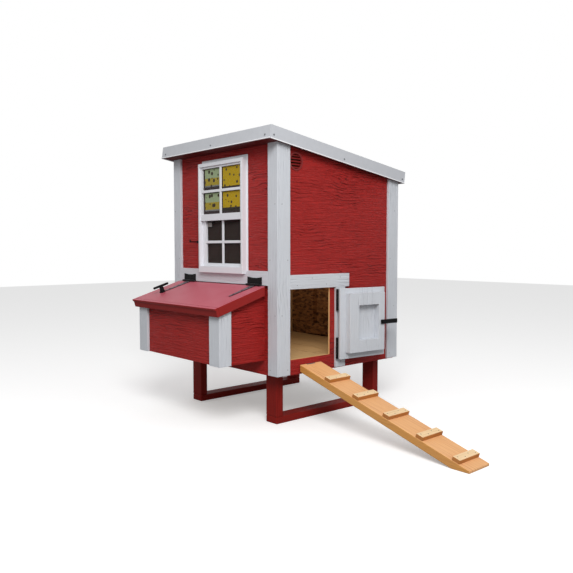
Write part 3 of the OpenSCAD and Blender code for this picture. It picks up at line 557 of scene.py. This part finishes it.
# Fine painted or bare metal, with a slight mottle in its sheen.
def metal_finish(name, colour, metallic, roughness, mottle=0.12, relief=0.0001):
    finish = bpy.data.materials.new(name)
    finish.use_nodes = True
    tree = finish.node_tree
    shader = tree.nodes["Principled BSDF"]
    shader.inputs["Metallic"].default_value = metallic
    place = tree.nodes.new("ShaderNodeTexCoord")
    cloud = tree.nodes.new("ShaderNodeTexNoise")
    cloud.inputs["Scale"].default_value = 38
    cloud.inputs["Detail"].default_value = 6
    tree.links.new(place.outputs["Object"], cloud.inputs["Vector"])
    tone = tree.nodes.new("ShaderNodeMix")
    tone.data_type = "RGBA"
    tone.inputs[mix_from].default_value = (*colour, 1)
    tone.inputs[mix_to].default_value = (*[c * (1 - 2 * mottle) for c in colour], 1)
    tree.links.new(cloud.outputs["Fac"], tone.inputs["Factor"])
    tree.links.new(tone.outputs[mix_result], shader.inputs["Base Color"])
    sheen = tree.nodes.new("ShaderNodeMapRange")
    sheen.inputs["To Min"].default_value = roughness - mottle
    sheen.inputs["To Max"].default_value = roughness + mottle
    tree.links.new(cloud.outputs["Fac"], sheen.inputs["Value"])
    tree.links.new(sheen.outputs["Result"], shader.inputs["Roughness"])
    bump = tree.nodes.new("ShaderNodeBump")
    bump.inputs["Distance"].default_value = relief
    tree.links.new(cloud.outputs["Fac"], bump.inputs["Height"])
    tree.links.new(bump.outputs["Normal"], shader.inputs["Normal"])
    return finish


painted_head = metal_finish("painted_nail_head", (0.40, 0.41, 0.43), metallic=0.0, roughness=0.5)
nail_pitch = 0.29
nail_radius = 0.0032
nail_height = 0.0009
end_margin = 0.03
end_clear = 0.1
near_row = 0.018
far_row = 0.058
lap = 0.015
board_faces = {"corner_boards_front": ("front", "side"), "corner_boards_rear": ("side", "back")}
nails = []
for board, facings in board_faces.items():
    low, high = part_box(board)
    count = int((high.z - low.z - end_clear) / nail_pitch)
    for hand in (-1, 1):
        outer_x = high.x if hand > 0 else low.x
        for facing in facings:
            for step in range(count + 1):
                z = low.z + end_margin + step * nail_pitch
                inset = near_row if step % 2 else far_row
                if facing == "front":
                    nails.append(((outer_x - hand * inset, low.y, z), (0, -1, 0)))
                elif facing == "back":
                    nails.append(((outer_x - hand * inset, high.y, z), (0, 1, 0)))
                else:
                    from_front = board == "corner_boards_front"
                    y = low.y + lap + inset if from_front else high.y - lap - inset
                    nails.append(((outer_x, y, z), (hand, 0, 0)))

header_nails = 4
header_end = 0.05
header_pitch = 0.11
header_foot = 0.02
header_rows = 0.036
low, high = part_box("door_header")
for step in range(header_nails):
    y = low.y + header_end + header_pitch * step
    z = low.z + header_foot + header_rows * (step % 2)
    nails.append(((high.x, y, z), (1, 0, 0)))

side_board_nails = 3
side_board_middle = 0.038
side_board_pitch = 0.19
low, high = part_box("door_side_board")
for step in range(side_board_nails):
    z = low.z + end_margin + side_board_pitch * step
    nails.append(((high.x, low.y + side_board_middle, z), (1, 0, 0)))
set_heads("board_nails", "house", painted_head, nails, nail_radius, nail_height)

# ---- Roof ----
# Red-stained plywood on the walls, battens on top, then ribbed pale metal sheet.
# A folded metal edge with a turned-out lip covers all four sides, held by screws.
soffit_finish = timber_finish("soffit", (0.130, 0.010, 0.009), (0.05, 0.004, 0.004), along_x,
                              along_y, rings=30, wander=5, roughness=0.5, gloss=0.15)
batten_finish = timber_finish("batten", pine_light, pine_dark, across_x, along_x, rings=60, wander=4,
                              roughness=0.7)
roof_metal = metal_finish("roof_metal", (0.585, 0.600, 0.635), metallic=0.0, roughness=0.34, mottle=0.05)
zinc = metal_finish("zinc_head", (0.30, 0.31, 0.33), metallic=0.7, roughness=0.38)
soffit_ease = 0.0008
sheet_ease = 0.0006
eased("roof_deck", "house", soffit_ease, [soffit_finish])
eased("roof_battens", "house", sawn_ease, [batten_finish])
eased("roof_sheet", "house", sheet_ease, [roof_metal])
# A near-white copy of the roof metal, for the painted highlight on the lip.
roof_lip_highlight = metal_finish("roof_lip_highlight", (0.93, 0.93, 0.95), metallic=0.0, roughness=0.30, mottle=0.02)
lip_stand = 0.0022
near_upright = 0.95
near_under = -0.9
edge_low, edge_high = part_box("roof_edge_sides")
ends_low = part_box("roof_edge_ends")[0]


# The turned-out lip stands proud of the edge's face; its near white is a painted highlight.
def side_lip_highlight(normal, middle):
    proud = middle.x > edge_high.x - lip_stand or middle.x < edge_low.x + lip_stand
    return 1 if proud and abs(normal.z) < near_upright else 0


def end_lip_highlight(normal, middle):
    proud = middle.y < ends_low.y + lip_stand
    return 1 if proud and normal.z > near_under else 0


fold_ease = 0.0009
eased("roof_edge_ends", "house", fold_ease, [roof_metal, roof_lip_highlight], end_lip_highlight)
eased("roof_edge_sides", "house", fold_ease, [roof_metal, roof_lip_highlight], side_lip_highlight)


def dress(node, finish):
    mesh = nodes[node].data
    mesh.materials.clear()
    mesh.materials.append(finish)


dress("roof_screws", zinc)

# ---- Vents ----
# Round louvred vents of moulded plastic, painted with the siding.
vent_finish = metal_finish("vent_red", (0.25, 0.016, 0.015), metallic=0.0, roughness=0.5)
dress("vents", vent_finish)

# ---- Window ----
# A single-hung window in white vinyl: a stepped frame, a fixed upper sash and a
# lower one that slides behind it, each with two by two lights, and a dark screen.
vinyl = metal_finish("white_vinyl", (0.80, 0.81, 0.85), metallic=0.0, roughness=0.32, mottle=0.03)
frame_ease = 0.0018
sash_ease = 0.0012
eased("window_frame", "house", frame_ease, [vinyl])
eased("upper_sash", "house", sash_ease, [vinyl])
eased("lower_sash", "lower_sash", sash_ease, [vinyl])

clear_glass = bpy.data.materials.new("window_glass")
clear_glass.use_nodes = True
pane_shader = clear_glass.node_tree.nodes["Principled BSDF"]
pane_shader.inputs["Base Color"].default_value = (0.20, 0.21, 0.22, 1)
pane_shader.inputs["Roughness"].default_value = 0.04
pane_shader.inputs["Specular IOR Level"].default_value = 0.25
pane_shader.inputs["Alpha"].default_value = 0.035
for node in ("upper_glass", "lower_glass"):
    dress(node, clear_glass)

# Woven screen: two sets of threads crossing, nearly black.
screen_finish = bpy.data.materials.new("screen_mesh")
screen_finish.use_nodes = True
screen_tree = screen_finish.node_tree
screen_shader = screen_tree.nodes["Principled BSDF"]
screen_shader.inputs["Roughness"].default_value = 0.8
screen_shader.inputs["Specular IOR Level"].default_value = 0.1
screen_place = screen_tree.nodes.new("ShaderNodeTexCoord")
thread_marks = []
for axis in ("X", "Z"):
    threads = screen_tree.nodes.new("ShaderNodeTexWave")
    threads.bands_direction = axis
    threads.inputs["Scale"].default_value = 90
    screen_tree.links.new(screen_place.outputs["Object"], threads.inputs["Vector"])
    thread_marks.append(threads.outputs["Fac"])
weave = screen_tree.nodes.new("ShaderNodeMath")
weave.operation = "MAXIMUM"
screen_tree.links.new(thread_marks[0], weave.inputs[0])
screen_tree.links.new(thread_marks[1], weave.inputs[1])
weave_tone = screen_tree.nodes.new("ShaderNodeMix")
weave_tone.data_type = "RGBA"
weave_tone.inputs[mix_from].default_value = (0.010, 0.005, 0.004, 1)
weave_tone.inputs[mix_to].default_value = (0.034, 0.018, 0.013, 1)
screen_tree.links.new(weave.outputs[0], weave_tone.inputs["Factor"])
screen_tree.links.new(weave_tone.outputs[mix_result], screen_shader.inputs["Base Color"])
dress("insect_screen", screen_finish)


# Thin plate with square corners, standing level across the window.
def plate(name, x0, x1, y, thick, z0, z1, finish, body):
    mesh = bpy.data.meshes.new(name)
    work = bmesh.new()
    bmesh.ops.create_cube(work, size=1)
    for corner in work.verts:
        corner.co = ((x0 + x1) / 2 + corner.co.x * (x1 - x0), y + corner.co.y * thick,
                     (z0 + z1) / 2 + corner.co.z * (z1 - z0))
    bmesh.ops.bevel(work, geom=list(work.edges), offset=thick / 3, segments=1, affect="EDGES")
    work.to_mesh(mesh)
    work.free()
    mesh.materials.append(finish)
    piece = bpy.data.objects.new(name, mesh)
    scene.collection.objects.link(piece)
    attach(piece, body)
    return piece


# Printed card: three flat bands of tint, with round blots and no lettering.
def card_finish(name, tints, bands, ink, blot_size, seed):
    blot_edge = 0.03
    finish = bpy.data.materials.new(name)
    finish.use_nodes = True
    tree = finish.node_tree
    shader = tree.nodes["Principled BSDF"]
    shader.inputs["Roughness"].default_value = 0.6
    shader.inputs["Specular IOR Level"].default_value = 0.1
    place = tree.nodes.new("ShaderNodeTexCoord")
    split = tree.nodes.new("ShaderNodeSeparateXYZ")
    tree.links.new(place.outputs["Object"], split.inputs[0])
    below = None
    for tint, top in zip(tints, bands):
        above = tree.nodes.new("ShaderNodeMath")
        above.operation = "GREATER_THAN"
        above.inputs[1].default_value = top
        tree.links.new(split.outputs["Z"], above.inputs[0])
        layer = tree.nodes.new("ShaderNodeMix")
        layer.data_type = "RGBA"
        layer.inputs[mix_from].default_value = (*tint, 1)
        layer.inputs[mix_to].default_value = (*tint, 1)
        if below:
            tree.links.new(below, layer.inputs[mix_from])
        tree.links.new(above.outputs[0], layer.inputs["Factor"])
        below = layer.outputs[mix_result]
    shift = tree.nodes.new("ShaderNodeMapping")
    shift.inputs["Location"].default_value = (seed, seed, seed)
    tree.links.new(place.outputs["Object"], shift.inputs["Vector"])
    dots = tree.nodes.new("ShaderNodeTexVoronoi")
    dots.inputs["Scale"].default_value = 30
    tree.links.new(shift.outputs["Vector"], dots.inputs["Vector"])
    marks = tree.nodes.new("ShaderNodeMapRange")
    marks.inputs["From Min"].default_value = blot_size + blot_edge
    marks.inputs["From Max"].default_value = blot_size
    tree.links.new(dots.outputs["Distance"], marks.inputs["Value"])
    printed = tree.nodes.new("ShaderNodeMix")
    printed.data_type = "RGBA"
    printed.inputs[mix_to].default_value = (*ink, 1)
    tree.links.new(marks.outputs["Result"], printed.inputs["Factor"])
    tree.links.new(below, printed.inputs[mix_from])
    tree.links.new(printed.outputs[mix_result], shader.inputs["Base Color"])
    return finish


glass_low, glass_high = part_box("upper_glass")
bar = 0.015
card_gap = 0.0016
card_back = glass_high.y + card_gap
light_h = (glass_high.z - glass_low.z - bar) / 2
light_w = (glass_high.x - glass_low.x - bar) / 2
yellow = (0.50, 0.33, 0.003)
pale_yellow = (0.40, 0.30, 0.03)
pale_green = (0.34, 0.42, 0.24)
dark_strip = (0.03, 0.022, 0.015)
grey_strip = (0.20, 0.20, 0.20)
ink = (0.05, 0.035, 0.02)
card_thick = 0.001
left_start = 0.008
left_side = 0.010
left_foot = 0.018
left_head = 0.003
left_strip = 0.026
left_green = 0.55
left_blots = 0.30
right_near = 0.003
right_far = 0.004
right_foot = 0.012
right_head = 0.002
right_strips = (0.032, 0.006)
right_blots = 0.24
for row in (0, 1):
    z0 = glass_low.z + row * (light_h + bar)
    z1 = z0 + light_h
    left = glass_low.x + left_start
    right = glass_high.x - light_w
    left_bands = (z0, z0 + left_strip, z0 + light_h * left_green)
    left_print = card_finish(f"card_left_{row}", (grey_strip, pale_yellow, pale_green), left_bands,
                             ink, left_blots, seed=1.3 + row)
    plate(f"card_left_{row}", left + left_side, left + light_w - left_side, card_back, card_thick,
          z0 + left_foot, z1 - left_head, left_print, "house")
    right_bands = (z0, z0 + right_strips[row], z1)
    right_print = card_finish(f"card_right_{row}", (dark_strip, yellow, yellow), right_bands,
                              ink, right_blots, seed=5.1 + 2.2 * row)
    plate(f"card_right_{row}", right + right_near, right + light_w - right_far, card_back, card_thick,
          z0 + right_foot, z1 - right_head, right_print, "house")

backing = metal_finish("dark_backing", (0.030, 0.012, 0.012), metallic=0.0, roughness=0.8)
backing_side = 0.004
backing_end = 0.002
backing_behind = 0.0016
plate("card_backing", glass_low.x + backing_side, glass_high.x - backing_side,
      card_back + backing_behind, card_thick, glass_low.z + backing_end, glass_high.z - backing_end,
      backing, "house")

tag_low, tag_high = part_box("lower_glass")
tag_finish = metal_finish("paper_tag", (0.24, 0.22, 0.21), metallic=0.0, roughness=0.6)
tag_inset = 0.010
tag_wide = 0.040
tag_tall = 0.024
tag_thick = 0.0008
plate("glass_tag", tag_low.x + tag_inset, tag_low.x + tag_inset + tag_wide, tag_low.y - tag_thick,
      tag_thick, tag_high.z - tag_inset - tag_tall, tag_high.z - tag_inset, tag_finish,
      "lower_sash")

# ---- Nest box ----
# A box hung on the front wall: siding outside, plywood floor and divider inside,
# under a sloping lid of smooth board painted red.
nest_low, nest_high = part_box("nest_sides")
nest_mid = (nest_low.x + nest_high.x) / 2
nest_half = (nest_high.x - nest_low.x) / 2
nest_skin = 0.008
nest_ease = 0.0008


def nest_front_face(normal, middle):
    return 1 if normal.y > faces_it else 0


def nest_side_face(normal, middle):
    inside = abs(middle.x - nest_mid) < nest_half - nest_skin
    looks_in = normal.x * (middle.x - nest_mid) < 0
    return 1 if inside and (looks_in or abs(normal.x) < faces_it) else 0


nest_front_red = siding("nest_front_red", seed=21.0)
eased("nest_front", "house", nest_ease, [nest_front_red, strand], nest_front_face)
nest_side_red = siding("nest_side_red", seed=26.0)
eased("nest_sides", "house", nest_ease, [nest_side_red, strand], nest_side_face)
eased("nest_floor", "house", ply_ease, [deck_finish])
eased("nest_divider", "house", ply_ease, [deck_finish])

# The lid's upward faces are painted paler and pinker than its red sides: a painted reflection of the
# sky.
lid_top_painted_reflection = timber_finish("lid_top_painted_reflection", (0.540, 0.098, 0.140), (0.42, 0.060, 0.090), along_y, along_x,
                        rings=40, wander=4, relief=0.00004, figure=0.10, roughness=0.46,
                        dust=(0.52, 0.14, 0.17), dusty=0.25)
lid_shader = lid_top_painted_reflection.node_tree.nodes["Principled BSDF"]
lid_shader.inputs["Coat Weight"].default_value = 0.35
lid_shader.inputs["Coat Roughness"].default_value = 0.45
lid_side = timber_finish("lid_side_red", (0.300, 0.018, 0.016), (0.15, 0.008, 0.008), upright,
                         along_x, rings=40, wander=4, relief=0.0001, figure=0.2, roughness=0.45,
                         dust=(0.28, 0.03, 0.03), gloss=0.2)
lid_eases = {"lid_panel": 0.0008, "lid_edge": 0.0022}
for node, ease in lid_eases.items():
    eased(node, "nest_lid", ease, [lid_top_painted_reflection, lid_side],
          lambda normal, middle: 0 if normal.z > faces_it else 1)

# ---- Hinges, latches and the lid hook ----
# Black powder-coated steel: tee hinges on the lid, butt hinges on both doors, and
# T handles whose shafts turn a flat cam behind.
black_coat = metal_finish("black_coat", (0.0065, 0.0060, 0.0068), metallic=0.0, roughness=0.42,
                          mottle=0.1, relief=0.0002)
black_coat.node_tree.nodes["Principled BSDF"].inputs["Specular IOR Level"].default_value = 0.2
for node in ("lid_hinge_leaves", "lid_latch_handle", "lid_latch_cam", "lid_hook",
             "door_hinge_flaps", "door_latch_handle", "door_latch_cam", "door_hinge_leaves",
             "back_hinge_flaps", "back_latch_handle", "back_latch_cam"):
    dress(node, black_coat)

# Screws through the lid's hinges: a row in each leaf, and three down each strap.
leaf_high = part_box("lid_hinge_leaves")[1]
strap_low, strap_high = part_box("lid_hinge_straps")
lid_up = max(nodes["lid_panel"].data.polygons, key=lambda face: face.normal.z).normal
# The straps' upper faces are dark grey, not black: a painted sheen for the sky reflected in them.
strap_top_painted_sheen = metal_finish("strap_top_painted_sheen", (0.13, 0.105, 0.12), metallic=0.0, roughness=0.30,
                           mottle=0.08, relief=0.0002)
strap_ease = 0.0004
strap_face = 0.98
eased("lid_hinge_straps", "nest_lid", strap_ease, [black_coat, strap_top_painted_sheen],
      lambda normal, middle: 1 if normal.dot(lid_up) > strap_face else 0)
lid_corner = max((v.co for v in nodes["lid_panel"].data.vertices), key=lambda co: co.dot(lid_up))


# Height of the lid's upper face at a given depth.
def lid_plane(y):
    return lid_corner.z - (y - lid_corner.y) * lid_up.y / lid_up.z


strap_half = 0.020
strap_top = 0.003
strap_start = 0.010
leaf_screw_drop = 0.016
leaf_screw_places = (-0.045, -0.015, 0.015, 0.045)
strap_screw_places = (0.030, 0.075, 0.135)
hinge_screw_radius = 0.0045
hinge_screw_height = 0.0018
leaf_screws = []
strap_screws = []
lid_slope = Vector((0, -lid_up.z, lid_up.y))
for x in (strap_low.x + strap_half, strap_high.x - strap_half):
    for across in leaf_screw_places:
        spot = (x + across, leaf_high.y - strap_top, leaf_high.z - leaf_screw_drop)
        leaf_screws.append((spot, (0, -1, 0)))
    for down in strap_screw_places:
        foot = Vector((x, strap_high.y - strap_start, 0)) + lid_slope * down
        foot.z = lid_plane(foot.y) + strap_top / lid_up.z
        strap_screws.append((tuple(foot), tuple(lid_up)))
set_heads("leaf_screws", "house", black_coat, leaf_screws, hinge_screw_radius,
          hinge_screw_height)
set_heads("strap_screws", "nest_lid", black_coat, strap_screws, hinge_screw_radius,
          hinge_screw_height)
steel = metal_finish("pin_steel", (0.28, 0.28, 0.29), metallic=0.9, roughness=0.35)
for node in ("hinge_pins", "ramp_hinge_leaf", "ramp_hinge_flap"):
    dress(node, steel)

# ---- Chicken door ----
# A white panel with four thicker boards on its inner face, which fill the doorway
# when it shuts. It rests swung back along the wall, with its inner face outwards.
door_ease = 0.0022
for node in ("door_panel", "door_frame"):
    eased(node, "chicken_door", door_ease, [upright_white])

# ---- Clean-out door ----
# A tall siding panel at the back, framed by white boards, on the same hinges.
eased("back_door_boards", "house", board_ease, [upright_white])
back_panel_ease = 0.001
back_frame_ease = 0.002
back_door_red = siding("back_door_red", seed=31.0)
eased("back_door_panel", "clean_out_door", back_panel_ease, [back_door_red, strand],
      lambda normal, middle: 1 if normal.y < -faces_it else 0)
eased("back_door_frame", "clean_out_door", back_frame_ease, [strand])

# ---- Ramp ----
# One cedar plank from the doorway to the ground, left bare, with pale cleats
# nailed across it.
ramp_across = (0, 1, 0.3)
ramp_down = (1, 0, -0.3)
cleat_across = (1, 0, 0.6)
# The plank's top and ends are painted lighter than its long sides: painted light above, painted shade on
# the sides.
cedar = timber_finish("bare_cedar", (0.90, 0.50, 0.215), (0.46, 0.145, 0.045), ramp_across, along_x,
                      rings=60, wander=4.5, relief=0.0003, figure=0.8, roughness=0.58,
                      dust=(0.8, 0.56, 0.36), dusty=0.15)
cedar_side_painted_shade = timber_finish("cedar_side_painted_shade", (0.70, 0.33, 0.075), (0.44, 0.16, 0.03), upright, ramp_down,
                           rings=80, wander=4.5, relief=0.0003, figure=0.6, roughness=0.6, seed=2.0)
# The cleats' tops are painted paler than their sides: painted light on top, painted shade on the sides.
pine_top_painted_light = timber_finish("bare_pine", (0.92, 0.68, 0.40), (0.62, 0.36, 0.15), cleat_across, along_y,
                          rings=90, wander=3, relief=0.0003, figure=0.6, roughness=0.6, seed=4.0)
cleat_side_painted_shade = timber_finish("cleat_side_painted_shade", (0.52, 0.19, 0.030), (0.30, 0.09, 0.015), cleat_across,
                           along_y, rings=90, wander=3, relief=0.0003, figure=0.6, roughness=0.6,
                           seed=6.0)
ramp_ease = 0.003
cleat_ease = 0.0018
cleat_top = 0.8
eased("ramp_board", "ramp", ramp_ease, [cedar, cedar_side_painted_shade],
      lambda normal, middle: 1 if abs(normal.y) > faces_it else 0)
eased("ramp_cleats", "ramp", cleat_ease, [pine_top_painted_light, cleat_side_painted_shade],
      lambda normal, middle: 0 if normal.z > cleat_top else 1)

# Four nails hold each cleat, staggered either side of the middle of its top face.
cleat_mesh = nodes["ramp_cleats"].data
cleat_spacing = 0.08
nails_per_cleat = 4
cleat_nail_inset = 0.018
cleat_nail_sway = 0.006
cleat_nail_radius = 0.0028
cleat_nail_height = 0.0008
top_corners = []
for face in cleat_mesh.polygons:
    if face.normal.z > cleat_top:
        cleat_up = tuple(face.normal)
        top_corners += [cleat_mesh.vertices[i].co for i in face.vertices]
top_corners.sort(key=lambda corner: corner.x)
cleat_tops = [[top_corners[0]]]
for corner in top_corners[1:]:
    if corner.x - cleat_tops[-1][-1].x > cleat_spacing:
        cleat_tops.append([])
    cleat_tops[-1].append(corner)
cleat_nails = []
for corners in cleat_tops:
    near_end = min(c.y for c in corners)
    far_end = max(c.y for c in corners)
    x = (min(c.x for c in corners) + max(c.x for c in corners)) / 2
    z = (min(c.z for c in corners) + max(c.z for c in corners)) / 2
    reach = far_end - near_end - 2 * cleat_nail_inset
    for step in range(nails_per_cleat):
        sway = cleat_nail_sway if step % 2 else -cleat_nail_sway
        y = near_end + cleat_nail_inset + reach * step / (nails_per_cleat - 1)
        cleat_nails.append(((x + sway, y, z - sway * cleat_up[0] / cleat_up[2]), cleat_up))
nail_steel = metal_finish("nail_steel", (0.20, 0.17, 0.15), metallic=0.3, roughness=0.5)
set_heads("cleat_nails", "ramp", nail_steel, cleat_nails, cleat_nail_radius,
          cleat_nail_height)

# ---- Roost ----
# A square bar across the house, resting in a notched bracket at each wall.
roost_ease = 0.004
eased("roost_bar", "house", roost_ease, [plate_finish])
eased("roost_brackets", "house", sawn_ease, [stud_finish])
